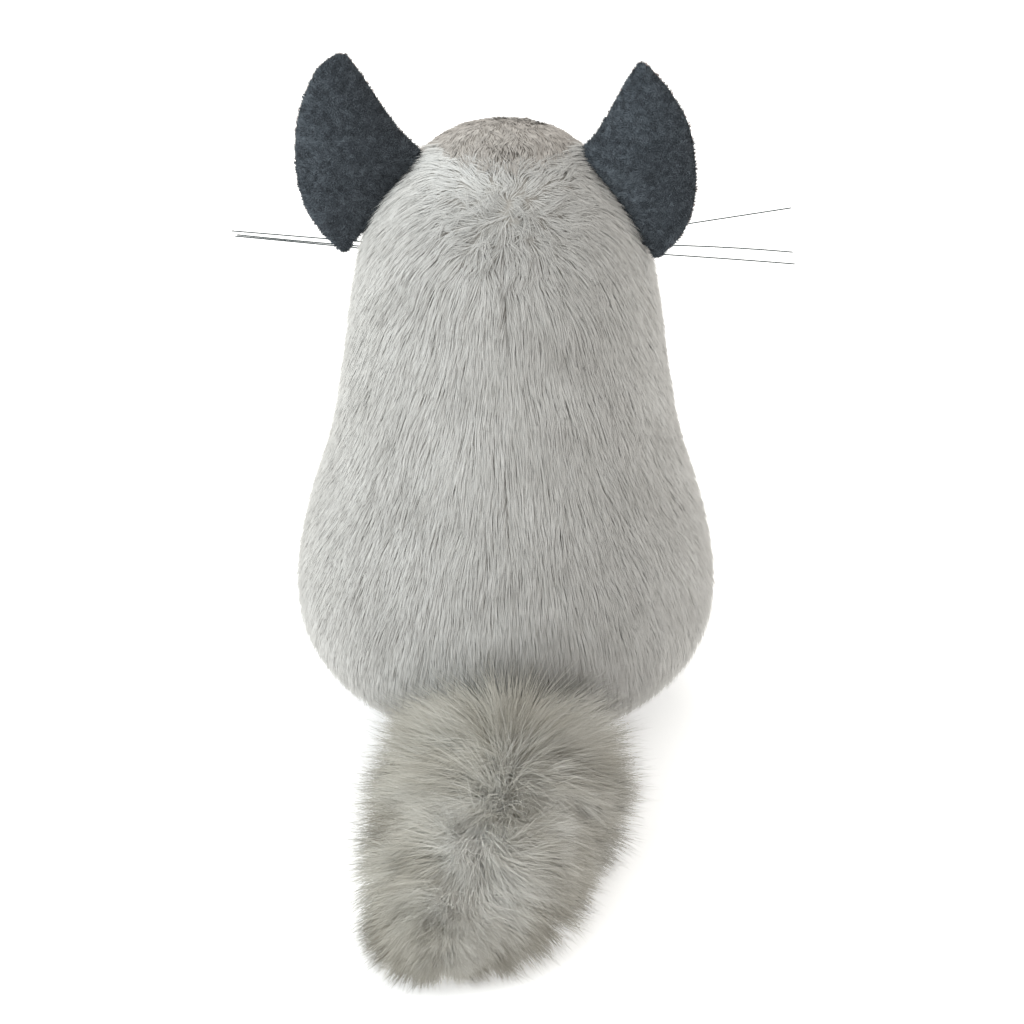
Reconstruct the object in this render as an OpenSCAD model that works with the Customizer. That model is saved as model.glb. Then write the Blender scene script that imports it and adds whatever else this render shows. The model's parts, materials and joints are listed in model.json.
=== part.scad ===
// Plush chinchilla: a pear-shaped stuffed body that sits upright on a table. Its ears fold,
// its front paws and hind feet swing, its whiskers sweep and its bushy tail lies behind it.
// The origin is the middle of the flat base, +Z is up, the toy faces -Y and its left is +X.

/* [Body] */
// Height of the top of the head above the table
body_height = 206; // [190:1:225]
// Greatest width of the body
body_width = 141; // [132:1:150]
// Thickness of a fabric panel with its pile, at the widest place
panel_t = 5; // [4:0.5:6]

/* [Ears] */
// Depth of the ear's cupped back
ear_cup = 7; // [3:0.5:9]
// Thickness of the ear's outer fabric
ear_back_t = 1.8; // [1.2:0.1:2.2]
// Thickness of the ear's lining
ear_lining_t = 1.4; // [1:0.1:1.8]
// Turn of the left ear about an upright line
ear_turn_left = 0; // [-4:1:6]
// Turn of the right ear about an upright line
ear_turn_right = 24; // [18:1:28]

/* [Face] */
// Diameter of an eye
eye_d = 15; // [12:0.5:16]
// Diameter of an eye's shank
shank_d = 4.8; // [4:0.2:6]
// Radius of a whisker
whisker_r = 0.25; // [0.2:0.05:0.4]

/* [Paws and feet] */
// Radius of a front paw
paw_r = 9; // [7:0.5:9.5]
// Radius of a hind foot
foot_r = 8; // [6:0.5:8]
// Thickness of the paw and foot fabric
limb_t = 2.5; // [1.5:0.5:3]

/* [Tail] */
// Width of the tail over its pile, at the widest place
tail_width = 82; // [60:1:84]
// Height of the tail over its pile, at the thickest place
tail_height = 44; // [34:1:46]

/* [Hidden] */
$fn = 48;

pile = [0.72, 0.71, 0.69];
cream = [0.92, 0.91, 0.88];
slate = [0.26, 0.28, 0.31];

// Body outline: height, half width, depth behind and in front of the middle, middle's y
outline = [[0, 34, 34, 34, 0], [6, 43.5, 43, 42, 0], [22, 63, 61, 61.5, 0],
    [42, 70.5, 67, 70.5, 0], [70, 66.5, 61.5, 67, 0], [100, 57.5, 52, 58, -2],
    [127, 52.5, 47, 53.5, -3.5], [153, 48.5, 43, 49, -5], [176, 42, 37.5, 43, -6],
    [194, 30, 26.5, 30.5, -7], [202.5, 19.5, 17, 20, -8], [206, 4, 4, 4, -8]];
wide = body_width / 141;
tall = body_height / 206;
// Rows between two outline heights, and the rows where the panels are sewn together
row_step = 3;
base_row = 3;
neck_row = 18;
crown_row = 27;
nape_row = 30;
bag_row = 7;
top_row = row_step * (len(outline) - 1);
// Columns across half the front and across one back panel
front_cols = 9;
back_cols = 13;
left_seam = front_cols;
back_seam = front_cols + back_cols;
right_seam = front_cols + 2 * back_cols;
all_cols = 2 * (front_cols + back_cols);

// ---------- Curves ----------

function mix(a, b, t) = a + (b - a) * t;
function smooth(p, q, r, s, t) = 0.5 * (2 * q + (r - p) * t
    + (2 * p - 5 * q + 4 * r - s) * t * t + (3 * q - p - 3 * r + s) * t * t * t);
// A smooth curve through a list of rows; s counts along the list
function along(list, s) = let (last = len(list) - 1, i = min(floor(s), last - 1))
    smooth(list[max(i - 1, 0)], list[i], list[i + 1], list[min(i + 2, last)], s - i);

// Direction of the side seam, which runs from the flank to behind the cheek
function side_seam(row) = mix(-40, -8, row / top_row);
function direction(col, row) = let (c = (col + all_cols) % all_cols, side = side_seam(row))
    c <= left_seam ? mix(-90, side, c / front_cols)
    : c <= back_seam ? mix(side, 90, (c - left_seam) / back_cols)
    : c <= right_seam ? mix(90, 180 - side, (c - back_seam) / back_cols)
    : mix(180 - side, 270, (c - right_seam) / front_cols);

// A point on the body in a direction at a row; depth 0 is the outside, 1 is inside the panel
function body_point(u, row, depth = 0) = let (
    o = along(outline, row / row_step),
    squeeze = 1 - depth * 2 * panel_t / body_width,
    lift = 1 - depth * 2 * panel_t / body_height,
    y = (sin(u) > 0 ? o[2] : o[3]) * sin(u) * squeeze + o[4])
    [o[1] * cos(u) * squeeze * wide, y * wide, o[0] * tall * lift + depth * panel_t];
function body_net(c0, c1, r0, r1, depth) =
    [for (r = [r0:r1], c = [c0:c1]) body_point(direction(c, r), r, depth)];

// ---------- Closed shells from nets of points ----------

// A patch with an outer and an inner net of rows x cols points
module patch(outer, inner, rows, cols) {
    n = rows * cols;
    across = [for (i = [0:rows - 2], k = [0:cols - 2]) let (a = i * cols + k, b = a + 1,
        c = b + cols, d = a + cols) each [[a, d, c], [a, c, b], [n + a, n + c, n + d],
        [n + a, n + b, n + c]]];
    ends = [for (k = [0:cols - 2]) let (a = k, e = (rows - 1) * cols + k)
        each [[a, a + 1, n + a + 1], [a, n + a + 1, n + a], [e, n + e + 1, e + 1],
        [e, n + e, n + e + 1]]];
    sides = [for (i = [0:rows - 2]) let (a = i * cols, d = a + cols, e = a + cols - 1,
        f = e + cols) each [[d, a, n + d], [a, n + a, n + d], [e, f, n + f], [e, n + f, n + e]]];
    polyhedron(concat(outer, inner), concat(across, ends, sides), convexity = 6);
}

function ring_sides(rows, cols, first) = [for (i = [0:rows - 2], k = [0:cols - 1])
    let (a = first + i * cols + k, b = first + i * cols + (k + 1) % cols)
    each [[a, a + cols, b + cols], [a, b + cols, b]]];
function backwards(faces) = [for (f = faces) [f[2], f[1], f[0]]];
function start_cap(cols, first) = [[for (k = [0:cols - 1]) first + k]];
function end_cap(cols, first) = [[for (k = [cols - 1:-1:0]) first + k]];

// A solid stack of rings
module stack(points, cols) {
    rows = len(points) / cols;
    polyhedron(points, concat(ring_sides(rows, cols, 0), start_cap(cols, 0),
        end_cap(cols, (rows - 1) * cols)), convexity = 4);
}

// A shell between two stacks of rings, closed at one end; open_end is 0 or 1
module cup(outer, inner, cols, open_end) {
    n = len(outer);
    rows = n / cols;
    last = (rows - 1) * cols;
    e = open_end * last;
    caps = open_end == 1 ? concat(start_cap(cols, 0), end_cap(cols, n))
        : concat(end_cap(cols, last), start_cap(cols, n + last));
    rim = [for (k = [0:cols - 1]) let (a = e + k, b = e + (k + 1) % cols)
        each open_end == 1 ? [[a, n + b, b], [a, n + a, n + b]]
        : [[a, b, n + b], [a, n + b, n + a]]];
    polyhedron(concat(outer, inner), concat(ring_sides(rows, cols, 0),
        backwards(ring_sides(rows, cols, n)), caps, rim), convexity = 6);
}

// ---------- Body panels and filling ----------

module body_patch(c0, c1, r0, r1)
    patch(body_net(c0, c1, r0, r1, 0), body_net(c0, c1, r0, r1, 1), r1 - r0 + 1, c1 - c0 + 1);
module filling(r0, r1) stack(body_net(0, all_cols - 1, r0, r1, 1), all_cols);

module base_panel() {
    color(pile)
        cup(body_net(0, all_cols - 1, 0, base_row, 0), body_net(0, all_cols - 1, 0, base_row, 1),
            all_cols, 1);
}
module belly_panel() {
    color(cream) body_patch(-front_cols, front_cols, base_row, neck_row);
}
module back_left_panel() {
    color(pile) body_patch(left_seam, back_seam, base_row, nape_row);
}
module back_right_panel() {
    color(pile * 0.96) body_patch(back_seam, right_seam, base_row, nape_row);
}
module face_left_panel() {
    color(pile) body_patch(0, left_seam, neck_row, crown_row);
}
module face_right_panel() {
    color(pile * 0.96) body_patch(-front_cols, 0, neck_row, crown_row);
}
module crown_panel() {
    color([0.66, 0.64, 0.61]) {
        cup(body_net(0, all_cols - 1, nape_row, top_row, 0),
            body_net(0, all_cols - 1, nape_row, top_row, 1), all_cols, 0);
        body_patch(right_seam - all_cols, left_seam, crown_row, nape_row);
    }
}
module pellet_bag() { color("khaki") filling(0, bag_row); }
module body_fibrefill() { color("white") filling(bag_row, neck_row); }
module head_fibrefill() { color("white") filling(neck_row, top_row); }

// ---------- Face ----------

muzzle_centre = [0, -52, 137];
muzzle_half = [25, 19, 17];
muzzle_rings = 11;
muzzle_cols = 24;
module muzzle() {
    points = [for (i = [0:muzzle_rings], k = [0:muzzle_cols - 1]) let (
        lat = mix(-84, 84, i / muzzle_rings), lon = 360 * k / muzzle_cols)
        [for (j = [0:2]) muzzle_centre[j] * (j == 2 ? tall : wide)
            + muzzle_half[j] * [cos(lat) * cos(lon), cos(lat) * sin(lon), sin(lat)][j]]];
    color(cream) difference() {
        stack(points, muzzle_cols);
        stack(body_net(0, all_cols - 1, neck_row - row_step, crown_row, 0), all_cols);
    }
}

muzzle_tip = [0, muzzle_centre[1] * wide - muzzle_half[1], muzzle_centre[2] * tall];
// The nose is a small satin-stitched pad on the muzzle's upper front
module nose() {
    color([0.62, 0.45, 0.45]) translate(muzzle_tip + [0, 1.2, 6]) rotate([112, 0, 0])
        rotate_extrude() intersection() {
            translate([0, -4.6]) circle(r = 7, $fn = 64);
            square([8, 4]);
        }
}
// Two thread strokes below the nose
module mouth_stitch() {
    color("dimgray") for (side = [-1, 1]) translate(muzzle_tip + [0, 0.2, -1])
        rotate([12, side * 38, 0]) translate([0, 0, -7]) cylinder(r = 0.5, h = 6.4);
}

eye_row = 22;
eye_turn = 47;
eye_place = body_point(-90 + eye_turn, eye_row);
// Points the local Z axis out of the left cheek
module at_left_eye() {
    translate(eye_place) rotate([0, 84, -90 + eye_turn]) children();
}
module eye() {
    color([0.05, 0.04, 0.04]) at_left_eye() {
        translate([0, 0, -0.6]) intersection() {
            translate([0, 0, -eye_d * 0.14]) sphere(d = eye_d * 1.1);
            cylinder(d = eye_d, h = eye_d);
        }
        translate([0, 0, -14]) cylinder(d = shank_d, h = 14);
    }
}
module eye_washer() {
    color("whitesmoke") at_left_eye() translate([0, 0, -8]) difference() {
        cylinder(d = eye_d + 3, h = 1.5);
        translate([0, 0, -1]) cylinder(d = shank_d, h = 4);
    }
}
module left_eye() { eye(); }
module right_eye() { mirror([1, 0, 0]) eye(); }
module left_eye_washer() { eye_washer(); }
module right_eye_washer() { mirror([1, 0, 0]) eye_washer(); }

// A thin bent thread from its root to its tip; sag lowers its middle
thread_rings = 8;
thread_sides = 6;
module thread(root, tip, sag) {
    run = tip - root;
    rise = [0, 0, 1];
    across = cross(run, rise) / norm(cross(run, rise));
    points = [for (i = [0:thread_rings], k = [0:thread_sides - 1]) let (
        t = i / thread_rings, turn = 360 * k / thread_sides)
        root + run * t - rise * sag * 4 * t * (1 - t)
        + whisker_r * (cos(turn) * rise + sin(turn) * across)];
    color([0.12, 0.2, 0.22]) stack(points, thread_sides);
}
left_root = [23.5, -61, 138];
right_root = [-23.5, -61, 140.5];
module left_whisker_upper() { thread(left_root + [0, 0, 1.5], [95.5, -66, 143.6], 0); }
module left_whisker_middle() { thread(left_root, [93, -60, 145], 0.4); }
module left_whisker_lower() { thread(left_root - [0, 0, 1.5], [94.5, -66, 141.6], 0); }
module right_whisker_upper() { thread(right_root + [0, 0, 1.5], [-99, -66, 152.4], 0); }
module right_whisker_middle() { thread(right_root, [-100.6, -66, 135.4], -1.2); }
module right_whisker_lower() { thread(right_root - [0, 0, 1.5], [-101.6, -66, 130.8], -0.3); }

// ---------- Ears ----------

// Ear rows: height, inner edge and outer edge; the first seven rows follow the sewn edge
ear_rows = [[0, -1.2, 0.8], [5, -3.6, 6], [10, -7, 9.8], [15, -10, 12.3], [20.5, -13.4, 14.1],
    [27.5, -17.8, 15.2], [34, -22, 15.4], [42, -17.3, 15], [50, -11.7, 13.2],
    [58.4, -6.4, 10], [63.5, -2.8, 6.5], [66.3, -0.4, 2.4]];
// Lowest point of the sewn edge, then the turn about Z, tilt about Y and lean about X
left_ear_base = [52.2, -6, 165.4];
right_ear_base = [51.4, 3.6, 168.6];
ear_tilt_left = -2;
ear_tilt_right = -7;
ear_lean = 2;
ear_cols = 7;
ear_steps = 2;
ear_net_rows = ear_steps * (len(ear_rows) - 1);
function ear_point(i, k, shift) = let (r = along(ear_rows, i / ear_steps),
    across = 2 * k / ear_cols - 1, curl = ear_cup * pow((r[2] - r[1]) / 38, 1.5))
    [mix(r[2], r[1], k / ear_cols), shift + curl * (1 - across * across), r[0]];
function ear_net(shift) =
    [for (i = [0:ear_net_rows], k = [0:ear_cols]) ear_point(i, k, shift)];
module ear_layer(front, back)
    patch(ear_net(back), ear_net(front), ear_net_rows + 1, ear_cols + 1);
module at_left_ear() {
    translate(left_ear_base) rotate([ear_lean, ear_tilt_left, ear_turn_left]) children();
}
module at_right_ear() {
    mirror([1, 0, 0])
        translate(right_ear_base) rotate([ear_lean, ear_tilt_right, ear_turn_right]) children();
}
module left_ear_back() { color(slate) at_left_ear() ear_layer(0, ear_back_t); }
module left_ear_lining() { color("thistle") at_left_ear() ear_layer(-ear_lining_t, 0); }
module right_ear_back() { color(slate) at_right_ear() ear_layer(0, ear_back_t); }
module right_ear_lining() { color("thistle") at_right_ear() ear_layer(-ear_lining_t, 0); }

// ---------- Paws and feet ----------

// Half outline of a round-ended limb, spun about its own axis
module limb_profile(r, length) {
    intersection() {
        union() {
            circle(r = r, $fn = 48);
            square([r, length]);
            translate([0, length]) circle(r = r, $fn = 48);
        }
        translate([0, -r]) square([r + 1, length + 2 * r]);
    }
}
module limb_fill(r, length) { rotate_extrude() limb_profile(r - limb_t, length); }
module limb_cover(r, length) {
    rotate_extrude() difference() {
        limb_profile(r, length);
        limb_profile(r - limb_t, length);
    }
}
shoulder = [34, -61.5, 101];
paw_length = 20;
module at_paw() { translate(shoulder) rotate([0, 0, -26]) rotate([132, 0, 0]) children(); }
module paw_cover() { color(pile) at_paw() limb_cover(paw_r, paw_length); }
module paw_fill() { color("white") at_paw() limb_fill(paw_r, paw_length); }
heel = [30, -61.5, 8];
foot_length = 29;
module at_foot() { translate(heel) rotate([0, 0, 6]) rotate([90, 0, 0]) children(); }
module foot_cover() { color([0.8, 0.76, 0.74]) at_foot() limb_cover(foot_r, foot_length); }
module foot_fill() { color("white") at_foot() limb_fill(foot_r, foot_length); }
module left_paw_cover() { paw_cover(); }
module left_paw_fill() { paw_fill(); }
module right_paw_cover() { mirror([1, 0, 0]) paw_cover(); }
module right_paw_fill() { mirror([1, 0, 0]) paw_fill(); }
module left_foot_cover() { foot_cover(); }
module left_foot_fill() { foot_fill(); }
module right_foot_cover() { mirror([1, 0, 0]) foot_cover(); }
module right_foot_fill() { mirror([1, 0, 0]) foot_fill(); }

// ---------- Tail ----------

// Tail rings over the pile: y, middle's x and z, half width and half height
tail_rings = [[78, 0, 20, 7, 7], [84, 0, 20, 17, 13], [92, 0, 21, 31, 19.5],
    [105, 0.5, 22, 41, 22], [120, 3, 22, 41, 22], [135, 6, 21, 37, 21], [150, 10, 17, 31, 17],
    [160, 15, 12, 23, 11.6], [167, 19, 9, 10, 5]];
tail_pivot = [0, 71, 20];
tail_cols = 24;
tail_steps = 2;
tail_net_rows = tail_steps * (len(tail_rings) - 1);
tail_wide = tail_width / 82;
tail_tall = tail_height / 44;
// k_round and k_long shrink the rings towards the core
function tail_net(k_round, k_long) = [for (i = [0:tail_net_rows], k = [0:tail_cols - 1]) let (
    r = along(tail_rings, i / tail_steps), turn = 360 * k / tail_cols,
    start = tail_rings[0][0])
    [r[1] + k_round * r[3] * tail_wide * sin(turn), start + k_long * (r[0] - start),
    (r[2] + k_round * r[4] * cos(turn)) * tail_tall]];
core_round = 0.45;
core_long = 0.9;
module tail_cover() {
    color([0.63, 0.62, 0.58])
        cup(tail_net(1, 1), tail_net(core_round, core_long), tail_cols, 0);
}
module tail_core() { color("white") stack(tail_net(core_round, core_long), tail_cols); }
// Gathered end of the tail's fabric, on which the tail turns
module tail_neck() { color(pile) translate(tail_pivot) sphere(r = 6); }

base_panel();
belly_panel();
back_left_panel();
back_right_panel();
face_left_panel();
face_right_panel();
crown_panel();
body_fibrefill();
head_fibrefill();
pellet_bag();
muzzle();
nose();
mouth_stitch();
left_eye();
right_eye();
left_eye_washer();
right_eye_washer();
left_ear_back();
left_ear_lining();
right_ear_back();
right_ear_lining();
left_whisker_upper();
left_whisker_middle();
left_whisker_lower();
right_whisker_upper();
right_whisker_middle();
right_whisker_lower();
left_paw_cover();
left_paw_fill();
right_paw_cover();
right_paw_fill();
left_foot_cover();
left_foot_fill();
right_foot_cover();
right_foot_fill();
tail_neck();
tail_cover();
tail_core();
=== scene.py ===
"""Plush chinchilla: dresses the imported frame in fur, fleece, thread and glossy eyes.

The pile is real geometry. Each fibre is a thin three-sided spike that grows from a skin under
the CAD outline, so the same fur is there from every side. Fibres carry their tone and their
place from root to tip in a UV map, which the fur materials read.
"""

import json
import math

import bpy
import numpy as np
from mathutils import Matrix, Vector
from mathutils.bvhtree import BVHTree
from mathutils.kdtree import KDTree


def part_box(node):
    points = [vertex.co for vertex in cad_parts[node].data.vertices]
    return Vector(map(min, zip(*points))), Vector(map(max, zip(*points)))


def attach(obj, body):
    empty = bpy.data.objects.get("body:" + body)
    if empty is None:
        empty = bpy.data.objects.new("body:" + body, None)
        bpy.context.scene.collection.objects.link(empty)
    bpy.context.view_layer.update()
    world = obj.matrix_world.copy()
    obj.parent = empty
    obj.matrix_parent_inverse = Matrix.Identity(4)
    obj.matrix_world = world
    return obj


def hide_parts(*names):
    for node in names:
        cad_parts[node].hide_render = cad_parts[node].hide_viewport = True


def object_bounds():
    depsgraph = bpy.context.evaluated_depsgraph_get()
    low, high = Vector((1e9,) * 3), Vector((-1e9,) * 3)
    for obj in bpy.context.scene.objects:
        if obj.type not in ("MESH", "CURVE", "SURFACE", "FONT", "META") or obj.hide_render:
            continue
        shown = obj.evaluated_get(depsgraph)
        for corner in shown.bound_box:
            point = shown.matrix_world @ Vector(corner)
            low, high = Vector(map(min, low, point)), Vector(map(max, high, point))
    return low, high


MM = 0.001
FUR_UV = "OFBake"

BODY_FIBRES = 210000
TAIL_FIBRES = 64000
EAR_BACK_FIBRES, EAR_LINING_FIBRES = 20000, 12000
MUZZLE_FIBRES = 13000
PAW_FIBRES, FOOT_FIBRES = 11000, 13000
MAX_FIBRES = {1: 60000, 2: 21500, 3: 13000}

# Camera: what it looks at, how far off it is, its height angle and its lens
CAMERA_AIM = (-0.0022, 0.030, 0.088)
CAMERA_DISTANCE = 0.82
CAMERA_HEIGHT = math.radians(32)
CAMERA_LENS = 87.9

WORLD_LIGHT = 1.08
KEY_LIGHT = 29
FRONT_LIGHT = 13
FLOOR_GLOW = 0.35

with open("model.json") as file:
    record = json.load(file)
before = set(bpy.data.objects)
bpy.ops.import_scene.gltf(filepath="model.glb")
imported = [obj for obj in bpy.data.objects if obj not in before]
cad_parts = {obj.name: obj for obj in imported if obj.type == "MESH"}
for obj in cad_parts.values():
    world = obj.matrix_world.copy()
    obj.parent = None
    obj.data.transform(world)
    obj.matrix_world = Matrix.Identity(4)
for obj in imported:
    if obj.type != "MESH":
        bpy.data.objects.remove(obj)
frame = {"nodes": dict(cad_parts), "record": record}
cad_low, cad_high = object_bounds()
nodes = frame["nodes"]


# ---------------------------------------------------------------- numbers and vectors


def unit(v):
    return v / np.maximum(np.linalg.norm(v, axis=-1, keepdims=True), 1e-12)


def mix(a, b, t):
    return a + (b - a) * t


def ease(x, low, high):
    """0 below low, 1 above high, smooth between; low may be above high."""
    t = np.clip((x - low) / (high - low), 0, 1)
    return t * t * (3 - 2 * t)


def tangent(direction, normal):
    """direction laid into the plane across normal"""
    return unit(direction - (direction * normal).sum(-1, keepdims=True) * normal)


class Noise:
    """Smooth random field over space: a sum of seeded waves about one wavelength long"""

    def __init__(self, wavelength, seed, waves=14):
        rng = np.random.default_rng(seed)
        aim = unit(rng.normal(size=(waves, 3)))
        self.k = aim * (2 * math.pi / wavelength) * rng.uniform(0.6, 1.5, (waves, 1))
        self.phase = rng.uniform(0, 2 * math.pi, waves)

    def __call__(self, p):
        return np.sin(p @ self.k.T + self.phase).sum(1) / math.sqrt(len(self.phase) / 2) * 0.6


# ---------------------------------------------------------------- meshes and materials


def link(name, mesh):
    obj = bpy.data.objects.new(name, mesh)
    bpy.context.scene.collection.objects.link(obj)
    return obj


def make_mesh(name, verts, loops, sizes, uv=None, normals=None):
    """A mesh from arrays: loops lists each face's vertices, sizes their counts"""
    mesh = bpy.data.meshes.new(name)
    mesh.vertices.add(len(verts))
    mesh.vertices.foreach_set("co", np.asarray(verts, np.float32).ravel())
    mesh.loops.add(len(loops))
    mesh.loops.foreach_set("vertex_index", np.asarray(loops, np.int32))
    mesh.polygons.add(len(sizes))
    starts = np.concatenate([[0], np.cumsum(sizes)[:-1]])
    mesh.polygons.foreach_set("loop_start", starts.astype(np.int32))
    mesh.polygons.foreach_set("loop_total", np.asarray(sizes, np.int32))
    mesh.polygons.foreach_set("use_smooth", np.ones(len(sizes), bool))
    if uv is not None:
        layer = mesh.uv_layers.new(name=FUR_UV)
        layer.data.foreach_set("uv", np.asarray(uv, np.float32).ravel())
    mesh.update(calc_edges=True)
    if normals is not None:
        mesh.normals_split_custom_set_from_vertices(np.asarray(normals, np.float32))
    return mesh


def grid_mesh(name, points, wrap=False):
    """A quad mesh from points[row, column]; wrap closes the columns"""
    rows, cols = points.shape[:2]
    ids = np.arange(rows * cols).reshape(rows, cols)
    right = np.roll(ids, -1, 1) if wrap else ids[:, 1:]
    left = ids if wrap else ids[:, :-1]
    quads = np.stack([left[:-1], right[:-1], right[1:], left[1:]], -1).reshape(-1, 4)
    return make_mesh(name, points.reshape(-1, 3), quads.ravel(), np.full(len(quads), 4))


class Nodes:
    """A material's node tree with short calls"""

    def __init__(self, name):
        self.material = bpy.data.materials.new(name)
        self.material.use_nodes = True
        self.tree = self.material.node_tree
        self.shader = self.tree.nodes["Principled BSDF"]

    def add(self, kind, **inputs):
        node = self.tree.nodes.new("ShaderNode" + kind)
        for key, value in inputs.items():
            node.inputs[key.replace("_", " ")].default_value = value
        return node

    def join(self, source, target):
        self.tree.links.new(source, target)

    def ramp(self, source, stops):
        node = self.add("ValToRGB")
        while len(node.color_ramp.elements) < len(stops):
            node.color_ramp.elements.new(0.5)
        for element, (place, colour) in zip(node.color_ramp.elements, stops):
            element.position = place
            element.color = (*colour, 1) if len(colour) == 3 else (colour[0],) * 3 + (1,)
        self.join(source, node.inputs["Fac"])
        return node.outputs["Color"]

    def multiply(self, a, b):
        node = self.add("Mix")
        node.data_type = "RGBA"
        node.blend_type = "MULTIPLY"
        node.inputs["Factor"].default_value = 1
        self.join(a, node.inputs["A"])
        self.join(b, node.inputs["B"])
        return node.outputs["Result"]

    def noise(self, scale):
        place = self.add("TexCoord")
        node = self.add("TexNoise", Scale=scale, Detail=4)
        self.join(place.outputs["Object"], node.inputs["Vector"])
        return node.outputs["Fac"]

    def bump(self, source, strength, depth):
        node = self.add("Bump", Strength=strength, Distance=depth)
        self.join(source, node.inputs["Height"])
        self.join(node.outputs["Normal"], self.shader.inputs["Normal"])

    def surface(self, **inputs):
        for key, value in inputs.items():
            self.shader.inputs[key.replace("_", " ")].default_value = value


def srgb(*levels):
    """A linear colour from display levels 0 to 255"""
    return tuple((x / 255 / 12.92) if x <= 10 else ((x / 255 + 0.055) / 1.055) ** 2.4 for x in levels)


def fur_material(name, dark, middle, light, root=0.92, tip=1.02):
    """Fibres: colour by tone across the map, with painted shade that darkens them from tip to root along it
    """
    n = Nodes(name)
    uv = n.add("UVMap")
    uv.uv_map = FUR_UV
    split = n.add("SeparateXYZ")
    n.join(uv.outputs["UV"], split.inputs["Vector"])
    tone = n.ramp(split.outputs["X"], [(0.0, dark), (0.5, middle), (1.0, light)])
    along = n.ramp(split.outputs["Y"], [(0.0, (root,)), (0.45, (mix(root, 1, 0.8),)), (1.0, (tip,))])
    n.join(n.multiply(tone, along), n.shader.inputs["Base Color"])
    n.surface(Roughness=0.85, Specular_IOR_Level=0.15)
    return n.material


def cloth_material(name, dark, light, scale=900, strength=0.3):
    """Knitted backing or woven cloth seen between fibres"""
    n = Nodes(name)
    fac = n.noise(scale)
    n.join(n.ramp(fac, [(0.3, dark), (0.7, light)]), n.shader.inputs["Base Color"])
    n.bump(fac, strength, 0.0003)
    n.surface(Roughness=0.9, Specular_IOR_Level=0.15)
    return n.material


def plain_material(name, dark, light, roughness, scale=400, strength=0.1, **inputs):
    n = Nodes(name)
    fac = n.noise(scale)
    n.join(n.ramp(fac, [(0.35, dark), (0.65, light)]), n.shader.inputs["Base Color"])
    n.bump(fac, strength, 0.0001)
    n.surface(Roughness=roughness, **inputs)
    return n.material


def dress(obj, material, body, slot, *stands_for):
    """Gives a piece its material and its body, and hides the CAD nodes it stands for; slot is not used"""
    obj.data.materials.clear()
    obj.data.materials.append(material)
    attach(obj, body)
    if stands_for:
        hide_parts(*stands_for)
    return obj


# ---------------------------------------------------------------- fibres


def fibre_arrays(root, bend, tip, radius, tone, skin_normal, segments, wave=None, soft=0.6):
    """Vertices, faces, map and normals of fibres along root-bend-tip curves"""
    count = len(root)
    t = np.linspace(0, 1, segments + 1)[None, :, None]
    line = (1 - t) ** 2 * root[:, None] + 2 * t * (1 - t) * bend[:, None] + t**2 * tip[:, None]
    if wave is not None:
        line = line + wave * (t**1.3)
    run = unit(np.gradient(line, axis=1))
    side = unit(np.cross(run, skin_normal[:, None]))
    up = np.cross(side, run)
    turn = np.radians([90, 210, 330])
    ring = side[:, :, None] * np.cos(turn)[None, None, :, None]
    ring = ring + up[:, :, None] * np.sin(turn)[None, None, :, None]
    taper = (1 - np.linspace(0, 1, segments + 1) ** 2.0)[None, :, None, None]
    size = radius[:, None, None, None] * np.maximum(taper, 0.0)
    body = (line[:, :-1, None] + ring[:, :-1] * size[:, :-1]).reshape(count, -1, 3)
    verts = np.concatenate([body, line[:, -1:]], 1)
    normal = unit(ring[:, :-1] * (1 - soft) + skin_normal[:, None, None] * soft)
    normal = np.concatenate([normal.reshape(count, -1, 3), unit(run[:, -1:] * 0.2 + skin_normal[:, None])], 1)
    per = 3 * segments + 1
    quads, tris = [], []
    for i in range(segments - 1):
        for k in range(3):
            a, b = 3 * i + k, 3 * i + (k + 1) % 3
            quads.append([b, a, a + 3, b + 3])
    last = 3 * (segments - 1)
    for k in range(3):
        tris.append([last + (k + 1) % 3, last + k, per - 1])
    local = np.array([v for f in quads + tris for v in f])
    loops = (np.arange(count)[:, None] * per + local[None]).ravel()
    sizes = np.tile([4] * len(quads) + [3] * len(tris), count)
    v_of = np.concatenate([np.repeat(np.linspace(0, 1, segments + 1)[:-1], 3), [1.0]])
    u_of = np.concatenate([np.tile([-0.004, 0.0, 0.004], segments), [0.0]])
    uv = np.empty((count, len(local), 2))
    uv[:, :, 0] = np.clip(tone[:, None] + u_of[local][None], 0.002, 0.998)
    uv[:, :, 1] = np.clip(v_of[local][None], 0.002, 0.998)
    return verts.reshape(-1, 3), loops, sizes, uv.reshape(-1, 2), normal.reshape(-1, 3)


def plant(name, material, body, slot, stands_for, fibres, segments, soft=0.6):
    """Makes a fibre piece, in parts that stay small enough to export whole"""
    count = len(fibres["root"])
    parts = max(1, math.ceil(count / MAX_FIBRES[segments]))
    order = np.argsort(fibres["root"][:, 2] * -1, kind="stable")
    made = []
    for i, ids in enumerate(np.array_split(order, parts)):
        if len(ids) == 0:
            continue
        wave = fibres["wave"][ids] if fibres.get("wave") is not None else None
        arrays = fibre_arrays(
            fibres["root"][ids], fibres["bend"][ids], fibres["tip"][ids], fibres["radius"][ids],
            fibres["tone"][ids], fibres["normal"][ids], segments, wave, soft,
        )
        label = name if parts == 1 else f"{name}_{i + 1}"
        obj = link(label, make_mesh(label, *arrays))
        made.append(dress(obj, material, body, slot, *stands_for))
    return made


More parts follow.
